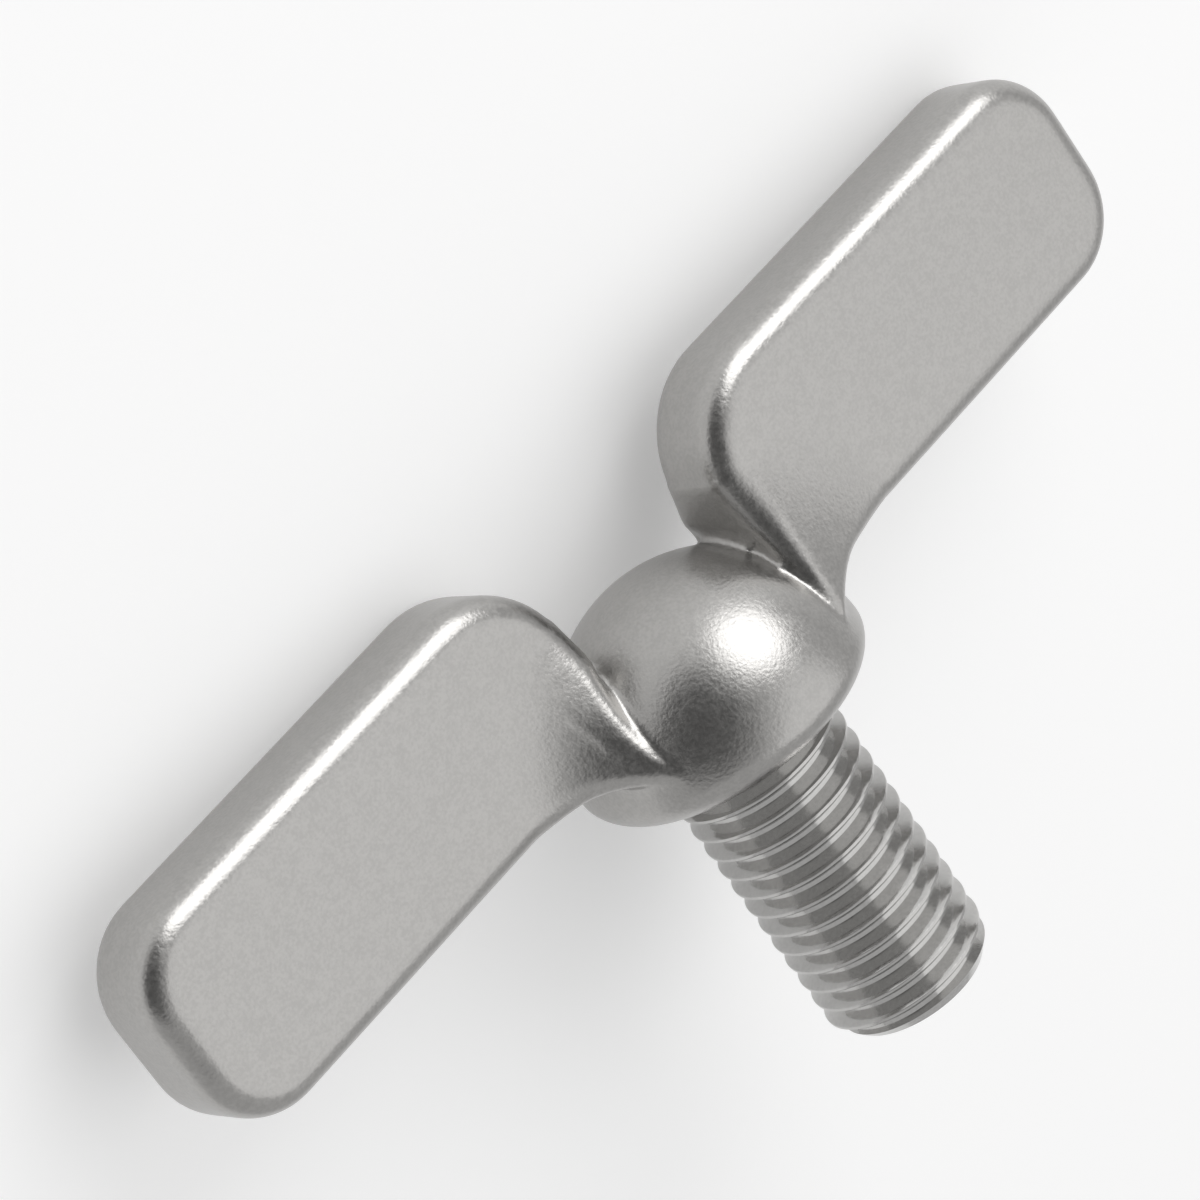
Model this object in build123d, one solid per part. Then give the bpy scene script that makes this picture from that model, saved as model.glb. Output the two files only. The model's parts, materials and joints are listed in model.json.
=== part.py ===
"""Wing screw, forged in one piece: a domed hub with two paddle wings over a stout threaded shank.

The screw is drawn upright first, in its own frame: the underside of the hub, which seats on the work, is
z = 0, the dome is up, the shank points down and the wings spread along X. It is then laid down the way it
comes to rest on a level floor: on the side of the hub and the back corners of both wings, tip in the air.
The fine thread of the shank is left as its major cylinder. Lengths are in millimetres.
"""

import os
from math import asin, atan2, cos, degrees, radians, sin, sqrt

from build123d import *

# Shank: 5/16-24 UNF, right-hand, threaded to the hub
shank_diameter = 7.9375
shank_length = 14.2875
tip_chamfer_length = 0.9
tip_chamfer_depth = 0.68

# Hub: a round dome that ends at a soft crease, over a rim that turns under to the flat seat
hub_diameter = 13.9
hub_height = 8.0
rim_height = 1.3
seat_diameter = 10.6

# Wings: flat paddles, each set a little to one side of the axis
wing_span = 57.15
wing_gap = 8.0
wing_bottom = 3.4
wing_top = 13.4
wing_thickness = 4.7
wing_offset = 1.4
wing_rim_radius = 1.25
outer_corner_radius = 3.55
inner_corner_radius = 4.7

# Roots: each wing spreads where it grows out of the hub
root_half_angle = 45.0
root_tip_height = 2.65
root_reach = 11.2
root_top = 7.4
root_fillet = 1.5
root_bow = 1.9
root_inset = 0.4
root_blend = 0.06

hub_radius = hub_diameter / 2
hub_centre = hub_height - hub_radius
shank_radius = shank_diameter / 2


def make_hub():
    """Round dome on a rounded rim, which is tangent to the flat seat."""
    crease_radius = sqrt(hub_radius**2 - (rim_height - hub_centre) ** 2)
    seat_radius = seat_diameter / 2
    rim_width = crease_radius - seat_radius
    rim_radius = (rim_width**2 + rim_height**2) / (2 * rim_height)
    rim_turn = degrees(atan2(rim_width, rim_radius - rim_height))
    crease_angle = degrees(asin((rim_height - hub_centre) / hub_radius))
    with BuildPart() as hub:
        with BuildSketch(Plane.XZ):
            with BuildLine():
                CenterArc((seat_radius, rim_radius), rim_radius, -90, rim_turn)
                CenterArc((0, hub_centre), hub_radius, crease_angle, 90 - crease_angle)
                Polyline((0, hub_height), (0, 0), (seat_radius, 0))
            make_face()
        revolve(axis=Axis.Z)
    return hub.part


def make_shank():
    """Rod with a chamfered tip, overlapping the hub so that the two become one."""
    tip_radius = shank_radius - tip_chamfer_depth
    with BuildPart() as rod:
        with BuildSketch(Plane.XZ):
            with BuildLine():
                Polyline(
                    (0, rim_height),
                    (shank_radius, rim_height),
                    (shank_radius, tip_chamfer_length - shank_length),
                    (tip_radius, -shank_length),
                    (0, -shank_length),
                    close=True,
                )
            make_face()
        revolve(axis=Axis.Z)
    return rod.part


def make_paddle():
    """Flat paddle with large round corners, square only where it runs down into the hub."""
    reach = wing_span / 2
    inner = wing_gap / 2
    with BuildPart() as paddle:
        with BuildSketch(Plane.XZ.offset(wing_offset)) as outline:
            with Locations(((inner + reach) / 2, (wing_bottom + wing_top) / 2)):
                Rectangle(reach - inner, wing_top - wing_bottom)
            inner_corners, outer_corners = outline.vertices().group_by(Axis.X)
            fillet(outer_corners, outer_corner_radius)
            inner_corners = outline.vertices().group_by(Axis.X)[0]
            fillet(inner_corners.sort_by(Axis.Y)[-1], inner_corner_radius)
        extrude(amount=wing_thickness / 2, both=True)
        fillet(paddle.faces().filter_by(Axis.Y).edges(), wing_rim_radius)
    return paddle.part


def root_section(height, spread):
    """Level cut through a root: spread is 0 at the top, inside the paddle, and 1 at the tips on the hub."""
    front = -wing_offset - wing_thickness / 2
    back = front + wing_thickness
    lean = degrees(asin(wing_offset / hub_radius))
    tip_radius = hub_radius
    inner = wing_gap / 2 + root_inset

    def spread_point(angle, face):
        tip = Vector(tip_radius * cos(radians(angle)), tip_radius * sin(radians(angle)))
        start = Vector(inner, face)
        return start + (tip - start) * spread

    front_tip = spread_point(-lean - root_half_angle, front + root_inset)
    back_tip = spread_point(-lean + root_half_angle, back - root_inset)
    front_end = Vector(root_reach, front + root_blend)
    back_end = Vector(root_reach, back - root_blend)
    front_run = front_end - front_tip
    back_run = back_end - back_tip
    with BuildSketch(Plane.XY.offset(height)) as section:
        with BuildLine():
            Line(front_tip, back_tip)
            Spline(back_tip, back_end, tangents=[(back_run.X, back_run.Y * root_bow), (1, 0)])
            Line(back_end, front_end)
            Spline(front_end, front_tip, tangents=[(-1, 0), (-front_run.X, -front_run.Y * root_bow)])
        make_face()
    return section.sketch.face()


def make_root():
    """Flare between a paddle and the hub, hollowed underneath by the fillet below the wing."""
    low = rim_height
    low_spread = (root_top - low) / (root_top - root_tip_height)
    flare = loft([root_section(low, low_spread), root_section(root_top, 0)], ruled=True)
    hub_side = hub_radius - root_blend
    fillet_end = hub_side + root_fillet
    rim_top = wing_bottom + wing_rim_radius - root_blend
    with BuildPart() as hollow:
        with BuildSketch(Plane.XZ):
            with BuildLine():
                Line((hub_side, 0), (hub_side, wing_bottom - root_fillet))
                RadiusArc((hub_side, wing_bottom - root_fillet), (fillet_end, wing_bottom), root_fillet)
                Polyline(
                    (fillet_end, wing_bottom),
                    (root_reach + root_fillet, rim_top),
                    (root_reach + root_fillet, 0),
                    (hub_side, 0),
                )
            make_face()
        revolve(axis=Axis.Z)
    return flare - hollow.part


def make_screw():
    """The whole screw, upright."""
    wing = make_paddle() + make_root()
    other_wing = wing.rotate(Axis.Z, 180)
    return make_hub() + wing + other_wing + make_shank()


def resting_plane(solid):
    """Floor under the screw lying on its back: the plane below the hub and both wings."""
    points, _ = solid.tessellate(0.01, 0.3)
    hub_points = [p for p in points if abs(p.X) < wing_gap / 4 and p.Z > 0]
    right_points = [p for p in points if p.X > hub_radius]
    left_points = [p for p in points if p.X < -hub_radius]
    wing_back = wing_offset + wing_thickness / 2
    lean = Vector(0, wing_back - hub_radius, wing_top - hub_centre)
    up = Vector(1, 0, 0).cross(lean).normalized()
    for _ in range(12):
        hub, left, right = (
            min(group, key=lambda point: point.dot(up)) for group in (hub_points, left_points, right_points)
        )
        up = (right - hub).cross(left - hub).normalized()
    along = (Vector(1, 0, 0) - up * up.X).normalized()
    return Plane(origin=hub, x_dir=along, z_dir=up)


screw = make_screw()
floor = resting_plane(screw)
laid = floor.to_local_coords(screw)
box = laid.bounding_box()
footing = Vector(box.center().X, box.center().Y, box.min.Z)
laid = laid.translate(-footing)

seat_point = floor.to_local_coords(Vector(0, 0, 0)) - footing
tip_point = floor.to_local_coords(Vector(0, 0, -shank_length)) - footing
print("seat centre", seat_point)
print("tip centre", tip_point)
print("shank direction", (tip_point - seat_point).normalized())
print("box", laid.bounding_box())

os.makedirs("parts", exist_ok=True)
laid.label = "wing_screw"
export_step(laid, "parts/wing_screw.step")
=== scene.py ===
"""Wing screw: blasted stainless head with two paddle wings on a domed hub, and a bright rolled thread.

The parts are modelled upright in millimetres, in the screw's own frame: the seat under the hub is z = 0, the
dome is up, the shank points down and the wings spread along X. The frame's own mounts then lay the screw down
as the CAD node lies, so that the new piece stands exactly in the node's place.
"""

import json
import logging
import math
from collections.abc import Callable
from dataclasses import dataclass, field
from enum import Enum

import bpy
from mathutils import Matrix, Vector

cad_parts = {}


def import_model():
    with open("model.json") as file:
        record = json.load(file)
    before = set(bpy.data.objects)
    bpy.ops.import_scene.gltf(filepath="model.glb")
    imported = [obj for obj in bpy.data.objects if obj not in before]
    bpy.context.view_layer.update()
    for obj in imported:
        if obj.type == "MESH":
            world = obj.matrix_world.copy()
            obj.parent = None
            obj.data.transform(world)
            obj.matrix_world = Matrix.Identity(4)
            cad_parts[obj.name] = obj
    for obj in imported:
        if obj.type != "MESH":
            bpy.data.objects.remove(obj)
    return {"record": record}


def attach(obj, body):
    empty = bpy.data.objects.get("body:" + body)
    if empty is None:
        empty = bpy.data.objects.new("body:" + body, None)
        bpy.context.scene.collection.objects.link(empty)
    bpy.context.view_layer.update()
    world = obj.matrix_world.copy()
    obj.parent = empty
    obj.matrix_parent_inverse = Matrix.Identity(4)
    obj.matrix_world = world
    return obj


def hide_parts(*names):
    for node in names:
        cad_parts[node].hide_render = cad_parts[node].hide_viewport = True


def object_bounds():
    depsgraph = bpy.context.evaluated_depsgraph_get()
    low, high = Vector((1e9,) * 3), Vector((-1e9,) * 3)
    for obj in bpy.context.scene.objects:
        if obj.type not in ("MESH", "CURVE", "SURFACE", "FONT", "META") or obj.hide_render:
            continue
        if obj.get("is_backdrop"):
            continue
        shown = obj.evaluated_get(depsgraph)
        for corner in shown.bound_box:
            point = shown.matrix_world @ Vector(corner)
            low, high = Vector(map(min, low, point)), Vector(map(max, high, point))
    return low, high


LOG = logging.getLogger("wing_screw")
METRES = 0.001
TINY = 1e-4
FLAT_WITHIN = TINY * 5


# --------------------------------------------------------------------------------------------------------
# Small helpers round the modelling operators
# --------------------------------------------------------------------------------------------------------


class Select(Enum):
    """What an edit-mode selection is made of."""

    VERTICES = "VERT"
    EDGES = "EDGE"
    FACES = "FACE"


def select_only(*objects: bpy.types.Object) -> None:
    """Make these objects the whole selection, with the first one active.

    Args:
        objects: The objects to select.
    """
    if bpy.context.object and bpy.context.object.mode == "EDIT":
        bpy.ops.object.mode_set(mode="OBJECT")
    bpy.ops.object.select_all(action="DESELECT")
    for each in objects:
        each.select_set(True)
    bpy.context.view_layer.objects.active = objects[0] if objects else None


def pick(obj: bpy.types.Object, kind: Select, test: Callable[[Vector], bool]) -> int:
    """Select vertices, or the edges or faces whose every corner passes a test, and go to edit mode.

    Args:
        obj: The mesh object being edited.
        kind: What is selected.
        test: Says of a vertex position whether it belongs to the selection.

    Returns:
        How many elements are selected.
    """
    if obj.mode != "EDIT":
        select_only(obj)
        bpy.ops.object.mode_set(mode="EDIT")
    bpy.ops.mesh.select_mode(type=kind.value)
    bpy.ops.mesh.select_all(action="DESELECT")
    bpy.ops.object.mode_set(mode="OBJECT")
    mesh = obj.data
    inside = [test(vertex.co) for vertex in mesh.vertices]
    if kind is Select.VERTICES:
        chosen = [vertex for vertex in mesh.vertices if inside[vertex.index]]
    elif kind is Select.EDGES:
        chosen = [edge for edge in mesh.edges if all(inside[i] for i in edge.vertices)]
    else:
        chosen = [face for face in mesh.polygons if all(inside[i] for i in face.vertices)]
    for element in chosen:
        element.select = True
    bpy.ops.object.mode_set(mode="EDIT")
    return len(chosen)


def finish_mesh(obj: bpy.types.Object) -> bpy.types.Object:
    """Merge doubles, turn all faces outwards and go back to object mode.

    Args:
        obj: The mesh object being edited.

    Returns:
        The same object.
    """
    if obj.mode != "EDIT":
        select_only(obj)
        bpy.ops.object.mode_set(mode="EDIT")
    bpy.ops.mesh.select_all(action="SELECT")
    bpy.ops.mesh.remove_doubles(threshold=TINY)
    bpy.ops.mesh.normals_make_consistent(inside=False)
    bpy.ops.object.mode_set(mode="OBJECT")
    return obj


def combine(target: bpy.types.Object, other: bpy.types.Object, operation: str) -> bpy.types.Object:
    """Apply an exact boolean of another closed mesh to a closed mesh, and delete the other.

    Args:
        target: The mesh that is kept.
        other: The mesh that is joined, cut away or intersected.
        operation: UNION, DIFFERENCE or INTERSECT.

    Returns:
        The changed target.
    """
    select_only(target)
    boolean = target.modifiers.new("combine", "BOOLEAN")
    boolean.operation = operation
    boolean.solver = "EXACT"
    boolean.object = other
    bpy.ops.object.modifier_apply(modifier=boolean.name)
    bpy.data.objects.remove(other)
    return target


def turned_ring(radius: float, height: float, steps: int) -> bpy.types.Object:
    """Add an open circle of edges, which ring extrusions then turn into a round body.

    Args:
        radius: Radius of the circle in millimetres.
        height: Its height on the screw's axis.
        steps: Number of edges round it.

    Returns:
        The new object, in edit mode with the circle selected.
    """
    if bpy.context.object and bpy.context.object.mode == "EDIT":
        bpy.ops.object.mode_set(mode="OBJECT")
    bpy.ops.object.select_all(action="DESELECT")
    bpy.ops.mesh.primitive_circle_add(vertices=steps, radius=radius, location=(0, 0, height))
    ring = bpy.context.object
    bpy.ops.object.transform_apply(location=True, rotation=True, scale=True)
    bpy.ops.object.mode_set(mode="EDIT")
    bpy.ops.mesh.select_mode(type="EDGE")
    bpy.ops.mesh.select_all(action="SELECT")
    return ring


def next_ring(radius: float, height: float, to_radius: float, to_height: float) -> None:
    """Extrude the selected circle into the next one of a turned outline.

    Args:
        radius: Radius of the selected circle.
        height: Height of the selected circle.
        to_radius: Radius of the new circle.
        to_height: Height of the new circle.
    """
    bpy.ops.mesh.extrude_edges_move(TRANSFORM_OT_translate={"value": (0, 0, to_height - height)})
    scale = to_radius / radius
    bpy.ops.transform.resize(value=(scale, scale, 1), center_override=(0, 0, to_height))


def turn_outline(outline: list[tuple[float, float]], steps: int) -> bpy.types.Object:
    """Turn an outline of radii and heights into a round body, closed by a flat face at each end.

    Args:
        outline: Radius and height of each ring, from one end of the body to the other.
        steps: Number of faces round the body.

    Returns:
        The closed body.
    """
    radius, height = outline[0]
    body = turned_ring(radius, height, steps)
    bpy.ops.mesh.edge_face_add()
    bpy.ops.mesh.select_mode(type="EDGE")
    for to_radius, to_height in outline[1:]:
        next_ring(radius, height, to_radius, to_height)
        radius, height = to_radius, to_height
    bpy.ops.mesh.edge_face_add()
    return finish_mesh(body)


# --------------------------------------------------------------------------------------------------------
# Where the screw lies
# --------------------------------------------------------------------------------------------------------


@dataclass
class ScrewFrame:
    """The screw's own frame, read from the mounts that the part's record states.

    Attributes:
        record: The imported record.
    """

    record: dict

    def mount(self, name: str) -> dict:
        """Find a mount by its name."""
        return next(mount for mount in self.record["mounts"] if mount["name"] == name)

    def matrix(self) -> Matrix:
        """Work out the move from the upright screw in millimetres to the screw as it lies, in metres.

        Returns:
            The matrix that a finished mesh is transformed by.
        """
        thread = self.mount("thread")
        down = Vector(thread["axis"]).normalized()
        seat_centre = Vector(thread["pos_m"]) - down * thread["dims"]["length_mm"] * METRES / 2
        across = Vector(self.mount("seat")["pos_m"]) - seat_centre
        up = -down
        along = (across - up * across.dot(up)).normalized()
        back = up.cross(along)
        turn = Matrix((along, back, up)).transposed().to_4x4()
        return Matrix.Translation(seat_centre) @ turn @ Matrix.Scale(METRES, 4)


# --------------------------------------------------------------------------------------------------------
# The forms of the screw
# --------------------------------------------------------------------------------------------------------


@dataclass
class Hub:
    """Domed hub: a round dome that ends at a soft crease, over a rim that turns under to the flat seat.

    Attributes:
        diameter: Diameter of the dome.
        height: Height of the dome's top above the seat.
        rim_height: Height of the crease above the seat.
        seat_diameter: Diameter of the flat seat.
        steps: Number of faces round the hub.
        rim_rings: Number of rings from the seat up to the crease.
    """

    diameter: float = 13.9
    height: float = 8.0
    rim_height: float = 1.3
    seat_diameter: float = 10.6
    steps: int = 160
    rim_rings: int = 12

    @property
    def radius(self) -> float:
        """Radius of the dome."""
        return self.diameter / 2

    @property
    def centre(self) -> float:
        """Height of the dome's centre above the seat."""
        return self.height - self.radius

    def outline(self) -> list[tuple[float, float]]:
        """Work out the turned outline, from the seat round the rim and over the dome.

        Returns:
            Radius and height of each ring.
        """
        crease_radius = math.sqrt(self.radius**2 - (self.rim_height - self.centre) ** 2)
        seat_radius = self.seat_diameter / 2
        rim_width = crease_radius - seat_radius
        rim_radius = (rim_width**2 + self.rim_height**2) / (2 * self.rim_height)
        rim_turn = math.atan2(rim_width, rim_radius - self.rim_height)
        rings = []
        for step in range(self.rim_rings + 1):
            angle = rim_turn * step / self.rim_rings
            rings.append(
                (seat_radius + rim_radius * math.sin(angle), rim_radius * (1 - math.cos(angle)))
            )
        crease_angle = math.asin((self.rim_height - self.centre) / self.radius)
        dome_rings = self.steps // 4
        for step in range(1, dome_rings):
            angle = crease_angle + (math.pi / 2 - crease_angle) * step / dome_rings
            rings.append(
                (self.radius * math.cos(angle), self.centre + self.radius * math.sin(angle))
            )
        return rings

    def build(self) -> bpy.types.Object:
        """Turn the hub.

        Returns:
            The closed hub.
        """
        hub = turn_outline(self.outline(), self.steps)
        hub.name = "hub"
        return hub


@dataclass
class Paddle:
    """Flat paddle of a wing: a plate with large round corners and an evenly rounded rim.

    Attributes:
        span: Distance between the outer edges of both wings.
        gap: Distance between their inner edges.
        bottom: Height of the lower edge above the seat.
        top: Height of the upper edge above the seat.
        thickness: Thickness of the plate.
        offset: How far its middle plane stands off the axis.
        rim_radius: Rounding of the rim.
        outer_corner_radius: Radius of both outer corners.
        inner_corner_radius: Radius of the inner upper corner.
        corner_steps: Number of faces round a corner.
        rim_steps: Number of faces across the rounding of the rim.
    """

    span: float = 57.15
    gap: float = 8.0
    bottom: float = 3.4
    top: float = 13.4
    thickness: float = 4.7
    offset: float = 1.4
    rim_radius: float = 1.25
    outer_corner_radius: float = 3.55
    inner_corner_radius: float = 4.7
    corner_steps: int = 20
    rim_steps: int = 9

    @property
    def inner(self) -> float:
        """Distance of the inner edge from the axis."""
        return self.gap / 2

    @property
    def reach(self) -> float:
        """Distance of the outer edge from the axis."""
        return self.span / 2

    @property
    def front(self) -> float:
        """Place of the front face of the right-hand wing."""
        return -self.offset - self.thickness / 2

    @property
    def back(self) -> float:
        """Place of the back face of the right-hand wing."""
        return self.front + self.thickness

    def round_corner(
        self, plate: bpy.types.Object, radius: float, corner: Callable[[Vector], bool]
    ) -> None:
        """Round the corners of the flat outline that pass a test.

        Args:
            plate: The flat outline.
            radius: Radius of the corners.
            corner: Says of a vertex whether it is such a corner.
        """
        pick(plate, Select.VERTICES, corner)
        bpy.ops.mesh.bevel(offset=radius, segments=self.corner_steps, profile=0.5, affect="VERTICES")

    def build(self) -> bpy.types.Object:
        """Draw the outline, round its corners, give it its thickness and round the rim.

        Returns:
            The closed paddle of the right-hand wing.
        """
        bpy.ops.object.select_all(action="DESELECT")
        bpy.ops.mesh.primitive_plane_add(
            size=1,
            location=((self.inner + self.reach) / 2, self.back, (self.bottom + self.top) / 2),
            rotation=(math.pi / 2, 0, 0),
        )
        plate = bpy.context.object
        plate.name = "paddle"
        bpy.ops.transform.resize(value=(self.reach - self.inner, 1, self.top - self.bottom))
        bpy.ops.object.transform_apply(location=True, rotation=True, scale=True)
        self.round_corner(plate, self.outer_corner_radius, lambda p: p.x > self.reach - TINY)
        self.round_corner(
            plate, self.inner_corner_radius, lambda p: p.x < self.inner + TINY and p.z > self.top - TINY
        )
        pick(plate, Select.FACES, lambda p: True)
        bpy.ops.mesh.extrude_region_move(TRANSFORM_OT_translate={"value": (0, -self.thickness, 0)})
        for side in (self.front, self.back):
            pick(plate, Select.EDGES, lambda p, side=side: abs(p.y - side) < TINY)
            bpy.ops.mesh.bevel(
                offset=self.rim_radius, segments=self.rim_steps, profile=0.5, affect="EDGES"
            )
        return finish_mesh(plate)


class Side(Enum):
    """A broad side of the right-hand wing, by the direction it faces along Y."""

    FRONT = -1
    BACK = 1


@dataclass
class Root:
    """Flare by which a wing grows out of the hub: each face bends out to a tip, over a concave fillet.

    Attributes:
        hub: The hub it grows out of.
        paddle: The paddle it carries.
        tip_height: Height of the tips on the hub.
        front_spread: How far the front face has bent out at its tip.
        back_spread: How far the back face has bent out at its tip.
        back_shift: How far the back face's inner edge has moved outwards at its tip.
        bend_top: Height at which the faces begin to bend out.
        shift_top: Height at which the back face's inner edge begins to move.
        reach: Distance from the axis at which the flare has run out into the paddle.
        fillet: Radius of the concave fillet under the wing.
        tip_round: Rounding of the inner edges at the tips.
        bottom_round: Rounding of the edges along the fillet.
        blend: How far the flare stays under the paddle's faces where it doesn't bend.
        bend_power: How softly a face starts to bend, going down.
        fade_power: How softly the bend runs out, going outwards.
        spacing_power: How much closer the stations and rows lie near the hub.
        stations: Number of steps outwards.
        rows: Number of steps upwards.
    """

    hub: Hub
    paddle: Paddle
    tip_height: float = 2.5
    front_spread: float = 2.05
    back_spread: float = 3.1
    back_shift: float = 1.55
    bend_top: float = 9.6
    shift_top: float = 7.6
    reach: float = 11.0
    fillet: float = 1.8
    tip_round: float = 0.12
    bottom_round: float = 0.75
    blend: float = 0.02
    bend_power: float = 1.15
    fade_power: float = 1.6
    spacing_power: float = 1.5
    stations: int = 40
    rows: int = 26

    def lowered(self, height: float, start: float) -> float:
        """Work out how far down a height is.

        Args:
            height: Height above the seat.
            start: Height at which the share is 0.

        Returns:
            The share, from 0 at the start to 1 at the tips.
        """
        return max(0.0, min(1.0, (start - height) / (start - self.tip_height)))

    def bend(self, height: float, side: Side) -> float:
        """Work out how far a face's inner edge has bent out.

        Args:
            height: Height above the seat.
            side: Front or back of the wing.

        Returns:
            The distance from the paddle's flat face.
        """
        spread = self.front_spread if side is Side.FRONT else self.back_spread
        return spread * self.lowered(height, self.bend_top) ** self.bend_power

    def inner_wall(self, height: float, side: Side) -> float:
        """Work out where a face's inner edge runs.

        Args:
            height: Height above the seat.
            side: Front or back of the wing.

        Returns:
            The distance from the axis along X.
        """
        shift = self.back_shift if side is Side.BACK else 0.0
        return self.paddle.inner + shift * math.sin(
            math.pi / 2 * self.lowered(height, self.shift_top)
        )

    def edge_round(self, height: float) -> float:
        """Work out the rounding of the inner edges, which sharpens towards the tips.

        Args:
            height: Height above the seat.

        Returns:
            The radius of the rounding.
        """
        share = 1 - self.lowered(height, self.shift_top)
        return self.tip_round + (self.paddle.rim_radius - self.tip_round) * share

    def underside(self, distance: float) -> float:
        """Find the height of the flare's underside at a distance from the axis.

        Args:
            distance: Distance from the axis.

        Returns:
            The height, on the concave fillet beside the hub or on the wing's straight bottom.
        """
        hub_side = self.hub.radius - self.blend
        off = self.fillet - min(self.fillet, max(0.0, distance - hub_side))
        return self.paddle.bottom - self.fillet + math.sqrt(self.fillet**2 - off**2) + self.blend

    @staticmethod
    def rounding(distance: float, radius: float) -> float:
        """Work out how far a rounded edge falls back.

        Args:
            distance: Distance from the edge.
            radius: Radius of the rounding.

        Returns:
            How far the surface lies behind the unrounded face.
        """
        short = max(0.0, radius - distance)
        return radius - math.sqrt(max(0.0, radius**2 - short**2))

    def surface(self, along: float, up: float, side: Side) -> Vector:
        """Work out a point of one flank.

        Args:
            along: Share of the way from the inner edge out into the paddle.
            up: Share of the way from the underside up into the paddle.
            side: Front or back of the wing.

        Returns:
            The point.
        """
        face = -self.paddle.offset + side.value * (self.paddle.thickness / 2 - self.blend)
        height = self.tip_height + (self.bend_top - self.tip_height) * up
        for _ in range(3):
            wall = self.inner_wall(height, side)
            edge_round = self.edge_round(height)
            place = wall + (self.reach - wall) * along
            fade = min(1.0, (self.reach - place) / (self.reach - wall - edge_round))
            out = face + side.value * self.bend(height, side) * fade**self.fade_power
            low = self.underside(math.hypot(place, out))
            height = low + (self.bend_top - low) * up
        bottom_round = self.bottom_round + (self.paddle.rim_radius - self.bottom_round) * along
        back = max(
            self.rounding(place - wall, edge_round), self.rounding(height - low, bottom_round)
        )
        return Vector((place, out - side.value * back, height))

    def build(self) -> bpy.types.Object:
        """Cut a block into stations and rows and draw both of its sides out.

        Returns:
            The closed root of the right-hand wing.
        """
        bpy.ops.object.select_all(action="DESELECT")
        bpy.ops.mesh.primitive_cube_add(size=1, location=(0.5, 0, 0.5))
        flare = bpy.context.object
        flare.name = "root"
        bpy.ops.object.transform_apply(location=True, rotation=True, scale=True)
        stations = [(n / self.stations) ** self.spacing_power for n in range(self.stations + 1)]
        rows = [(n / self.rows) ** self.spacing_power for n in range(self.rows + 1)]
        for along in stations[1:-1]:
            pick(flare, Select.FACES, lambda p: True)
            bpy.ops.mesh.bisect(plane_co=(along, 0, 0), plane_no=(1, 0, 0))
        for up in rows[1:-1]:
            pick(flare, Select.FACES, lambda p: True)
            bpy.ops.mesh.bisect(plane_co=(0, 0, up), plane_no=(0, 0, 1))
        for side in Side:
            for along in stations:
                for up in rows:
                    start = Vector((along, side.value / 2, up))
                    pick(flare, Select.VERTICES, lambda p: (p - start).length < TINY)
                    bpy.ops.transform.translate(value=self.surface(along, up, side) - start)
        return finish_mesh(flare)


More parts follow.
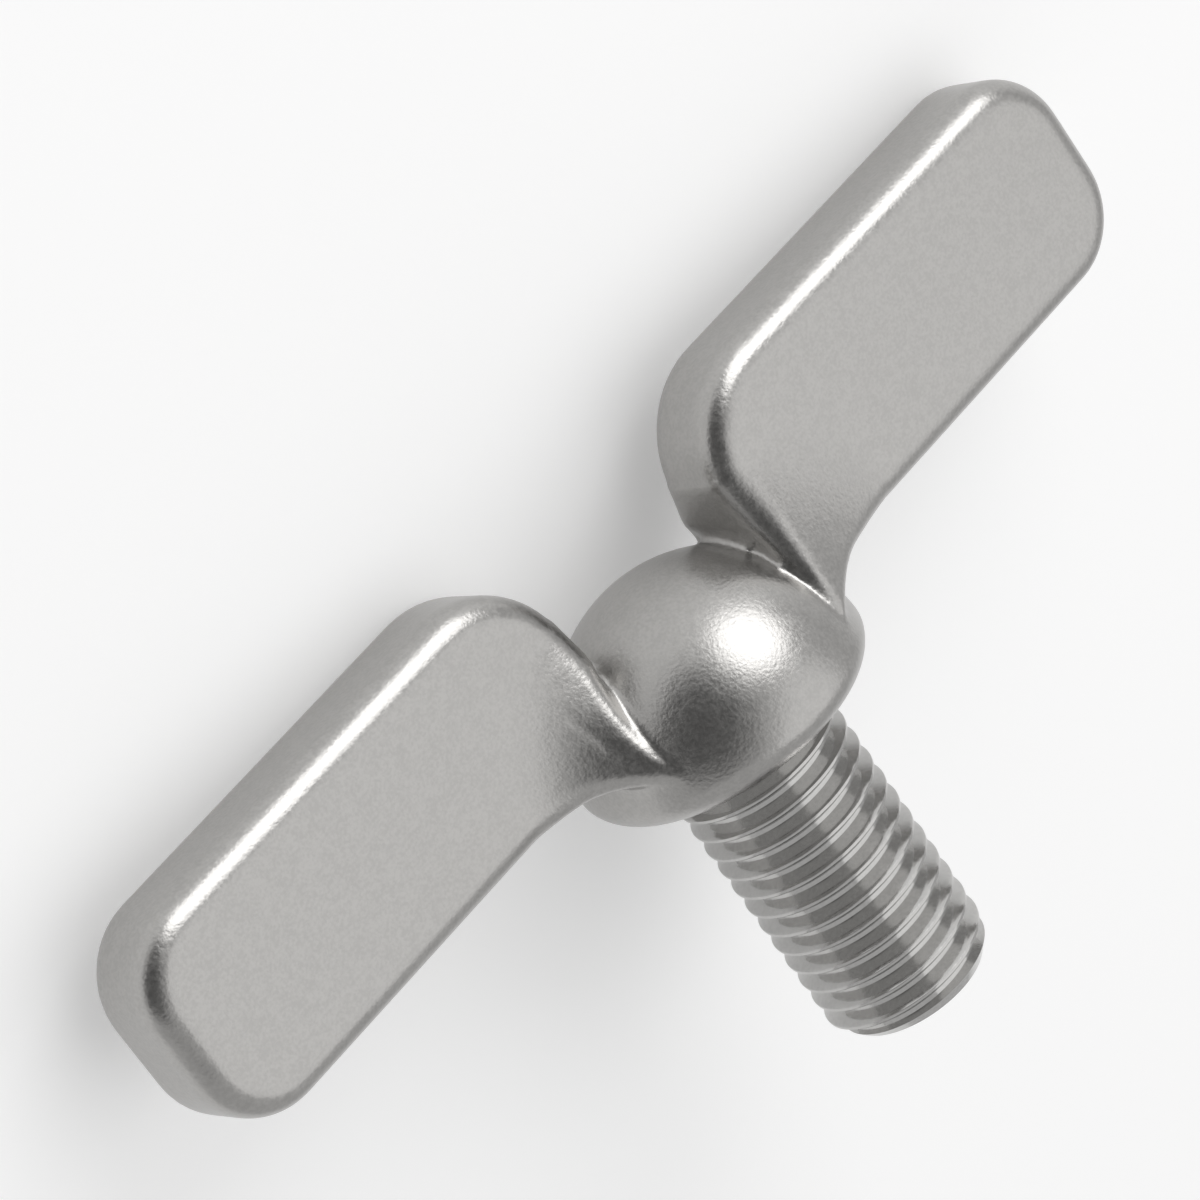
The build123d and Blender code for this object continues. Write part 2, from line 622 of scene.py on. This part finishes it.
@dataclass
class Shank:
    """Stout shank with a rolled right-hand fine thread up to the hub and a chamfered tip.

    Attributes:
        diameter: Diameter over the crests.
        length: Length below the seat.
        pitch: Rise of the thread in one turn.
        chamfer_length: Length of the chamfer at the tip.
        chamfer_depth: How much of the radius it takes off.
        crest_width: Width of a crest.
        root_width: Width of the bottom of a groove.
        depth: Depth of a groove.
        edge_reach: How far a softened edge reaches along the flank, and half as far on the flat.
        crown: How far a crest's edges lie below its middle.
        clearance: How far the blank that trims the thread stands off the crests.
        sunk: How far the shank goes up into the hub.
        cut_past: How far past the blank's upper end the wound thread is cut off.
        steps: Number of faces round one turn.
    """

    diameter: float = 7.9375
    length: float = 14.2875
    pitch: float = 25.4 / 24
    chamfer_length: float = 0.9
    chamfer_depth: float = 0.68
    crest_width: float = 0.2
    root_width: float = 0.26
    depth: float = 0.6
    edge_reach: float = 0.07
    crown: float = 0.01
    clearance: float = 0.01
    sunk: float = 0.6
    cut_past: float = 0.1
    steps: int = 96

    def profile(self) -> list[tuple[float, float]]:
        """Work out one turn of the thread's outline.

        Returns:
            Radius and height of each point, over exactly one pitch.
        """
        crest = self.diameter / 2
        flank = (self.pitch - self.crest_width - self.root_width) / 2
        soft = self.edge_reach
        heights_and_drops = [
            (0.0, self.depth),
            (self.root_width / 2 - soft / 2, self.depth),
            (self.root_width / 2 + soft, self.depth - soft * self.depth / flank),
            (self.root_width / 2 + flank - soft, soft * self.depth / flank),
            (self.root_width / 2 + flank + soft / 2, self.crown),
            (self.pitch / 2, 0.0),
        ]
        rising = [(crest - drop, height) for height, drop in heights_and_drops]
        falling = [(radius, self.pitch - height) for radius, height in reversed(rising[:-1])]
        return rising + falling

    def envelope(self) -> bpy.types.Object:
        """Turn the blank that the thread is rolled on, with its chamfered tip.

        Returns:
            The closed blank.
        """
        radius = self.diameter / 2 + self.clearance
        return turn_outline(
            [
                (radius - self.chamfer_depth, -self.length),
                (radius, -self.length + self.chamfer_length),
                (radius, self.sunk),
            ],
            self.steps * 2,
        )

    def build(self) -> bpy.types.Object:
        """Wind the thread's outline round the axis and trim it to the blank.

        Returns:
            The closed shank.
        """
        start = -self.length - 2 * self.pitch
        turns = math.ceil((self.sunk + self.pitch - start) / self.pitch)
        points = self.profile()
        bpy.ops.object.select_all(action="DESELECT")
        bpy.ops.mesh.primitive_plane_add(size=self.pitch, location=(0, 0, 0))
        ridge = bpy.context.object
        ridge.name = "shank"
        bpy.ops.object.mode_set(mode="EDIT")
        bpy.ops.mesh.select_mode(type="VERT")
        bpy.ops.mesh.select_all(action="SELECT")
        bpy.ops.mesh.merge(type="CENTER")
        bpy.ops.transform.translate(value=(points[0][0], 0, start + points[0][1]))
        for (radius, height), (to_radius, to_height) in zip(points, points[1:]):
            bpy.ops.mesh.extrude_vertices_move(
                TRANSFORM_OT_translate={"value": (to_radius - radius, 0, to_height - height)}
            )
        bpy.ops.object.mode_set(mode="OBJECT")
        bpy.ops.object.transform_apply(location=True, rotation=True, scale=True)
        screw = ridge.modifiers.new("wind", "SCREW")
        screw.axis = "Z"
        screw.angle = math.tau
        screw.screw_offset = self.pitch
        screw.iterations = turns
        screw.steps = self.steps
        screw.render_steps = self.steps
        screw.use_merge_vertices = True
        screw.merge_threshold = TINY
        bpy.ops.object.modifier_apply(modifier=screw.name)
        ends = ((-self.length - self.pitch / 4, False), (self.sunk + self.cut_past, True))
        for height, clear_above in ends:
            pick(ridge, Select.FACES, lambda p: True)
            bpy.ops.mesh.bisect(
                plane_co=(0, 0, height),
                plane_no=(0, 0, 1),
                use_fill=True,
                clear_inner=not clear_above,
                clear_outer=clear_above,
            )
        finish_mesh(ridge)
        return combine(ridge, self.envelope(), "INTERSECT")


# --------------------------------------------------------------------------------------------------------
# Finishes
# --------------------------------------------------------------------------------------------------------


def grain_group() -> bpy.types.NodeTree:
    """Build the shared grain: fine uneven speckle that changes colour, roughness and height.

    Returns:
        The node group, with a Mask and a Height output.
    """
    coarse_fineness, coarse_weight = 0.3, 0.6
    noise_low, noise_high = 0.62, 0.98
    tree = bpy.data.node_groups.new("metal_grain", "ShaderNodeTree")
    tree.interface.new_socket("Fineness", in_out="INPUT", socket_type="NodeSocketFloat")
    tree.interface.new_socket("Mask", in_out="OUTPUT", socket_type="NodeSocketFloat")
    tree.interface.new_socket("Height", in_out="OUTPUT", socket_type="NodeSocketFloat")
    source = tree.nodes.new("NodeGroupInput")
    result = tree.nodes.new("NodeGroupOutput")
    place = tree.nodes.new("ShaderNodeTexCoord")
    fine = tree.nodes.new("ShaderNodeTexNoise")
    fine.inputs["Detail"].default_value = 1.0
    coarse_scale = tree.nodes.new("ShaderNodeMath")
    coarse_scale.operation = "MULTIPLY"
    coarse_scale.inputs[1].default_value = coarse_fineness
    coarse = tree.nodes.new("ShaderNodeTexNoise")
    coarse.inputs["Detail"].default_value = 2.0
    blend = tree.nodes.new("ShaderNodeMath")
    blend.operation = "MULTIPLY_ADD"
    blend.inputs[1].default_value = coarse_weight
    stretch = tree.nodes.new("ShaderNodeMapRange")
    stretch.inputs["From Min"].default_value = noise_low
    stretch.inputs["From Max"].default_value = noise_high
    links = tree.links
    links.new(place.outputs["Object"], fine.inputs["Vector"])
    links.new(place.outputs["Object"], coarse.inputs["Vector"])
    links.new(source.outputs["Fineness"], fine.inputs["Scale"])
    links.new(source.outputs["Fineness"], coarse_scale.inputs[0])
    links.new(coarse_scale.outputs[0], coarse.inputs["Scale"])
    links.new(coarse.outputs["Fac"], blend.inputs[0])
    links.new(fine.outputs["Fac"], blend.inputs[2])
    links.new(blend.outputs[0], stretch.inputs["Value"])
    links.new(stretch.outputs["Result"], result.inputs["Mask"])
    links.new(fine.outputs["Fac"], result.inputs["Height"])
    return tree


@dataclass(frozen=True)
class MetalFinish:
    """A bare metal surface with a fine grain.

    Attributes:
        name: Name of the material.
        colour: Reflected colour.
        roughness: Lowest and highest roughness of the grain.
        grain_scale: Fineness of the grain, in features a metre.
        grain_depth: Height of the grain in metres.
        shade: How much the grain darkens the colour, from 0 to 1.
    """

    name: str
    colour: tuple[float, float, float]
    roughness: tuple[float, float]
    grain_scale: float
    grain_depth: float
    shade: float

    def material(self, grain: bpy.types.NodeTree) -> bpy.types.Material:
        """Make the material.

        Args:
            grain: The shared grain group.

        Returns:
            The finished material.
        """
        material = bpy.data.materials.new(self.name)
        material.use_nodes = True
        nodes, links = material.node_tree.nodes, material.node_tree.links
        shader = nodes["Principled BSDF"]
        shader.inputs["Metallic"].default_value = 1.0
        speckle = nodes.new("ShaderNodeGroup")
        speckle.node_tree = grain
        speckle.inputs["Fineness"].default_value = self.grain_scale
        rough = nodes.new("ShaderNodeMapRange")
        rough.inputs["To Min"].default_value, rough.inputs["To Max"].default_value = self.roughness
        tone = nodes.new("ShaderNodeMix")
        tone.data_type = "RGBA"
        tone.inputs["A"].default_value = (*(c * (1 - self.shade) for c in self.colour), 1)
        tone.inputs["B"].default_value = (*self.colour, 1)
        bump = nodes.new("ShaderNodeBump")
        bump.inputs["Distance"].default_value = self.grain_depth
        links.new(speckle.outputs["Mask"], rough.inputs["Value"])
        links.new(rough.outputs["Result"], shader.inputs["Roughness"])
        links.new(speckle.outputs["Mask"], tone.inputs["Factor"])
        links.new(tone.outputs["Result"], shader.inputs["Base Color"])
        links.new(speckle.outputs["Height"], bump.inputs["Height"])
        links.new(bump.outputs["Normal"], shader.inputs["Normal"])
        return material


BLASTED_STEEL = MetalFinish(
    name="blasted_steel",
    colour=(0.44, 0.432, 0.42),
    roughness=(0.28, 0.34),
    grain_scale=6500.0,
    grain_depth=0.000011,
    shade=0.11,
)
ROLLED_STEEL = MetalFinish(
    name="rolled_steel",
    colour=(0.52, 0.515, 0.505),
    roughness=(0.10, 0.18),
    grain_scale=6000.0,
    grain_depth=0.000001,
    shade=0.08,
)


# --------------------------------------------------------------------------------------------------------
# The whole screw
# --------------------------------------------------------------------------------------------------------


@dataclass
class WingScrew:
    """The screw as one piece: hub, two wings and threaded shank.

    Attributes:
        hub: The hub.
        paddle: The paddle of the right-hand wing.
        shank: The threaded shank.
        skin: Size of the faces of the head's even skin.
        smoothing: How far a smoothing pass moves a point towards the middle of its neighbours, 0 to 1.
        smooth_passes: Number of passes over the whole skin.
        root_passes: Number of further passes where the roots meet hub and paddle.
        root_side: Distance from the middle along X at which these begin.
        root_bottom: Height at which they begin.
        root_top: Height at which they end.
        root_depth: How far off the dome they reach, inwards and outwards.
        sharp_angle: Angle in degrees above which an edge of the shank stays sharp.
    """

    hub: Hub = field(default_factory=Hub)
    paddle: Paddle = field(default_factory=Paddle)
    shank: Shank = field(default_factory=Shank)
    skin: float = 0.15
    smoothing: float = 0.5
    smooth_passes: int = 3
    root_passes: int = 6
    root_side: float = 3.0
    root_bottom: float = 1.5
    root_top: float = 7.4
    root_depth: float = 1.2
    sharp_angle: float = 40.0

    def near_root(self, point: Vector) -> bool:
        """Say whether a point of the head is where a wing's root meets hub and paddle.

        Args:
            point: The point.

        Returns:
            Whether it is.
        """
        distance = math.hypot(point.x, point.y)
        off_dome = math.hypot(distance, point.z - self.hub.centre) - self.hub.radius
        level = self.root_bottom < point.z < self.root_top
        return abs(point.x) > self.root_side and level and abs(off_dome) < self.root_depth

    def wing(self) -> bpy.types.Object:
        """Build the right-hand wing with its root.

        Returns:
            The paddle and its root, joined as overlapping closed shells.
        """
        paddle = self.paddle.build()
        root = Root(self.hub, self.paddle).build()
        select_only(paddle, root)
        bpy.ops.object.join()
        return bpy.context.object

    def head(self) -> bpy.types.Object:
        """Join hub and wings and give them one even skin.

        Returns:
            The closed head.
        """
        head = self.hub.build()
        right = self.wing()
        LOG.info("wing: %d faces", len(right.data.polygons))
        left = right.copy()
        left.data = right.data.copy()
        bpy.context.scene.collection.objects.link(left)
        left.data.transform(Matrix.Rotation(math.pi, 4, "Z"))
        select_only(head, right, left)
        bpy.ops.object.join()
        select_only(head)
        remesh = head.modifiers.new("skin", "REMESH")
        remesh.mode = "VOXEL"
        remesh.voxel_size = self.skin
        bpy.ops.object.modifier_apply(modifier=remesh.name)
        pick(head, Select.VERTICES, lambda p: True)
        bpy.ops.mesh.vertices_smooth(factor=self.smoothing, repeat=self.smooth_passes)
        pick(head, Select.VERTICES, self.near_root)
        bpy.ops.mesh.vertices_smooth(factor=self.smoothing, repeat=self.root_passes)
        for side in (self.paddle.front, self.paddle.back, -self.paddle.front, -self.paddle.back):
            pick(head, Select.FACES, lambda p, side=side: abs(p.y - side) < FLAT_WITHIN)
            bpy.ops.mesh.dissolve_faces()
        finish_mesh(head)
        LOG.info("head: %d faces", len(head.data.polygons))
        return head

    def build(self, place: Matrix) -> bpy.types.Object:
        """Build the whole screw and lay it down.

        Args:
            place: Move from the upright screw to the screw as it lies.

        Returns:
            The finished screw.
        """
        grain = grain_group()
        head = self.head()
        head.data.materials.clear()
        head.data.materials.append(BLASTED_STEEL.material(grain))
        shank = self.shank.build()
        shank.data.materials.clear()
        shank.data.materials.append(ROLLED_STEEL.material(grain))
        LOG.info("shank: %d faces", len(shank.data.polygons))
        select_only(head)
        bpy.ops.object.shade_smooth()
        select_only(shank)
        bpy.ops.object.shade_smooth_by_angle(angle=math.radians(self.sharp_angle))
        select_only(head, shank)
        bpy.ops.object.join()
        screw = bpy.context.object
        screw.name = "wing_screw_body"
        screw.data.transform(place)
        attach(screw, "root")
        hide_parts("wing_screw")
        return screw


# --------------------------------------------------------------------------------------------------------
# Studio
# --------------------------------------------------------------------------------------------------------


@dataclass
class StudioCamera:
    """The camera, placed by the point it looks at and the angles it stands at.

    Attributes:
        aim: Point it looks at, in millimetres.
        azimuth: Angle round the screw at which it stands, from the -Y side towards +X, in degrees.
        elevation: Angle above the floor at which it stands, in degrees.
        roll: Turn about its line of sight, from level, that lifts its right-hand side, in degrees.
        distance: Its distance from the aim in millimetres.
        lens: Focal length in millimetres.
    """

    aim: tuple[float, float, float] = (-0.145, 6.09, 1.92)
    azimuth: float = 212.26
    elevation: float = 41.05
    roll: float = 113.7
    distance: float = 216.37
    lens: float = 157.3

    def build(self) -> bpy.types.Object:
        """Make the camera and set it as the scene's.

        Returns:
            The camera.
        """
        azimuth, elevation, roll = map(math.radians, (self.azimuth, self.elevation, self.roll))
        away = Vector((math.sin(azimuth), -math.cos(azimuth), 0))
        back = away * math.cos(elevation) + Vector((0, 0, math.sin(elevation)))
        level = Vector((0, 0, 1)).cross(back).normalized()
        side = level * math.cos(roll) + back.cross(level) * math.sin(roll)
        turn = Matrix((side, back.cross(side), back)).transposed().to_4x4()
        place = (Vector(self.aim) + back * self.distance) * METRES
        bpy.ops.object.select_all(action="DESELECT")
        bpy.ops.object.camera_add()
        camera = bpy.context.object
        camera.matrix_world = Matrix.Translation(place) @ turn
        camera.data.lens = self.lens
        camera.data.sensor_width = 36.0
        camera.data.clip_start = 0.01
        camera.data.clip_end = 10.0
        camera.data.dof.use_dof = False
        bpy.context.scene.camera = camera
        return camera


@dataclass
class Lamp:
    """A large soft lamp that looks at the screw.

    Attributes:
        name: Name of the lamp.
        towards: Direction in which it hangs, from what it looks at.
        distance: Its distance in metres.
        size: Diameter of its disc in metres.
        power: Its power in watts.
    """

    name: str
    towards: tuple[float, float, float]
    distance: float
    size: float
    power: float

    def build(self, target: Vector) -> bpy.types.Object:
        """Hang the lamp.

        Args:
            target: What it looks at.

        Returns:
            The lamp.
        """
        direction = Vector(self.towards).normalized()
        data = bpy.data.lights.new(self.name, "AREA")
        data.shape = "DISK"
        data.size = self.size
        data.energy = self.power
        lamp = bpy.data.objects.new(self.name, data)
        lamp.location = target + direction * self.distance
        lamp.rotation_mode = "QUATERNION"
        lamp.rotation_quaternion = direction.to_track_quat("Z", "Y")
        bpy.context.scene.collection.objects.link(lamp)
        return lamp


@dataclass
class Studio:
    """Pale floor, an even room with one dark side, and soft lamps.

    Attributes:
        floor_size: Length of the floor's sides.
        floor_level: Height of the floor, just under the screw.
        floor_shade: How pale the floor is, from 0 to 1.
        floor_glow: Extra brightness of the floor as seen straight, in gloss or through glass.
        room_strength: Brightness of the room.
        dark_side: Direction of the room's dark side.
        dark_strength: Brightness of the dark side.
        dark_angle: Half the angle that the dark side takes up, in degrees.
        dark_softness: Half the width of its soft border, in degrees.
        lamps: The lamps.
    """

    floor_size: float = 1.2
    floor_level: float = -0.00002
    floor_shade: float = 0.86
    floor_glow: float = 0.24
    room_strength: float = 0.62
    dark_side: tuple[float, float, float] = (-0.63, 0.52, 0.42)
    dark_strength: float = 0.12
    dark_angle: float = 36.0
    dark_softness: float = 9.0
    lamps: tuple[Lamp, ...] = (
        Lamp(name="key", towards=(0.42, 0.84, 0.34), distance=0.6, size=0.5, power=1.7),
        Lamp(name="overhead", towards=(0.45, -0.10, 1.0), distance=0.8, size=1.0, power=1.35),
    )

    def white_for_camera(
        self, nodes: bpy.types.Nodes, links: bpy.types.NodeLinks
    ) -> bpy.types.NodeSocket:
        """Build the mask that is 1 for what the camera sees straight, in gloss or through glass.

        Args:
            nodes: Nodes of the material or world.
            links: Its links.

        Returns:
            The mask's socket.
        """
        path = nodes.new("ShaderNodeLightPath")
        either = nodes.new("ShaderNodeMath")
        either.operation = "MAXIMUM"
        again = nodes.new("ShaderNodeMath")
        again.operation = "MAXIMUM"
        links.new(path.outputs["Is Camera Ray"], either.inputs[0])
        links.new(path.outputs["Is Glossy Ray"], either.inputs[1])
        links.new(either.outputs[0], again.inputs[0])
        links.new(path.outputs["Is Transmission Ray"], again.inputs[1])
        return again.outputs[0]

    def world(self) -> None:
        """Light the room evenly, with one dark side that gives the metal its contrast."""
        world = bpy.data.worlds.new("studio")
        bpy.context.scene.world = world
        world.use_nodes = True
        nodes, links = world.node_tree.nodes, world.node_tree.links
        room = nodes["Background"]
        room.inputs["Color"].default_value = (1, 1, 1, 1)
        towards = nodes.new("ShaderNodeTexCoord")
        facing = nodes.new("ShaderNodeVectorMath")
        facing.operation = "DOT_PRODUCT"
        facing.inputs[1].default_value = Vector(self.dark_side).normalized()
        strength = nodes.new("ShaderNodeMapRange")
        strength.interpolation_type = "SMOOTHSTEP"
        edge, soft = math.radians(self.dark_angle), math.radians(self.dark_softness)
        strength.inputs["From Min"].default_value = math.cos(edge + soft)
        strength.inputs["From Max"].default_value = math.cos(edge - soft)
        strength.inputs["To Min"].default_value = self.room_strength
        strength.inputs["To Max"].default_value = self.dark_strength
        links.new(towards.outputs["Generated"], facing.inputs[0])
        links.new(facing.outputs["Value"], strength.inputs["Value"])
        links.new(strength.outputs["Result"], room.inputs["Strength"])

    def floor(self) -> bpy.types.Object:
        """Lay the pale floor, which keeps the screw's soft shadow.

        Returns:
            The floor.
        """
        bpy.ops.object.select_all(action="DESELECT")
        bpy.ops.mesh.primitive_plane_add(size=self.floor_size, location=(0, 0, self.floor_level))
        floor = bpy.context.object
        floor.name = "floor"
        material = bpy.data.materials.new("white_floor")
        material.use_nodes = True
        nodes, links = material.node_tree.nodes, material.node_tree.links
        shader = nodes["Principled BSDF"]
        shader.inputs["Base Color"].default_value = (self.floor_shade, self.floor_shade, self.floor_shade, 1)
        shader.inputs["Roughness"].default_value = 0.9
        shader.inputs["Specular IOR Level"].default_value = 0.0
        shader.inputs["Emission Color"].default_value = (1, 1, 1, 1)
        glow = nodes.new("ShaderNodeMath")
        glow.operation = "MULTIPLY"
        glow.inputs[1].default_value = self.floor_glow
        links.new(self.white_for_camera(nodes, links), glow.inputs[0])
        links.new(glow.outputs[0], shader.inputs["Emission Strength"])
        floor.data.materials.append(material)
        floor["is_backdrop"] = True
        return floor

    def build(self, target: Vector) -> None:
        """Set up floor, surroundings, lamps and camera.

        Args:
            target: What the lamps look at.
        """
        self.floor()
        self.world()
        for lamp in self.lamps:
            lamp.build(target)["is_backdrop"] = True
        StudioCamera().build()
        bpy.context.scene.view_settings.view_transform = "Standard"


def main() -> None:
    """Build the screw and the studio, aim the lamps at the middle of the model as imported, and log the
    screw's face count.
    """
    logging.basicConfig(level=logging.INFO, format="%(name)s: %(message)s")
    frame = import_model()
    select_only()
    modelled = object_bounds()
    place = ScrewFrame(frame["record"]).matrix()
    screw = WingScrew().build(place)
    LOG.info("screw: %d faces", len(screw.data.polygons))
    Studio().build((modelled[0] + modelled[1]) / 2)


if __name__ == "__main__":
    main()
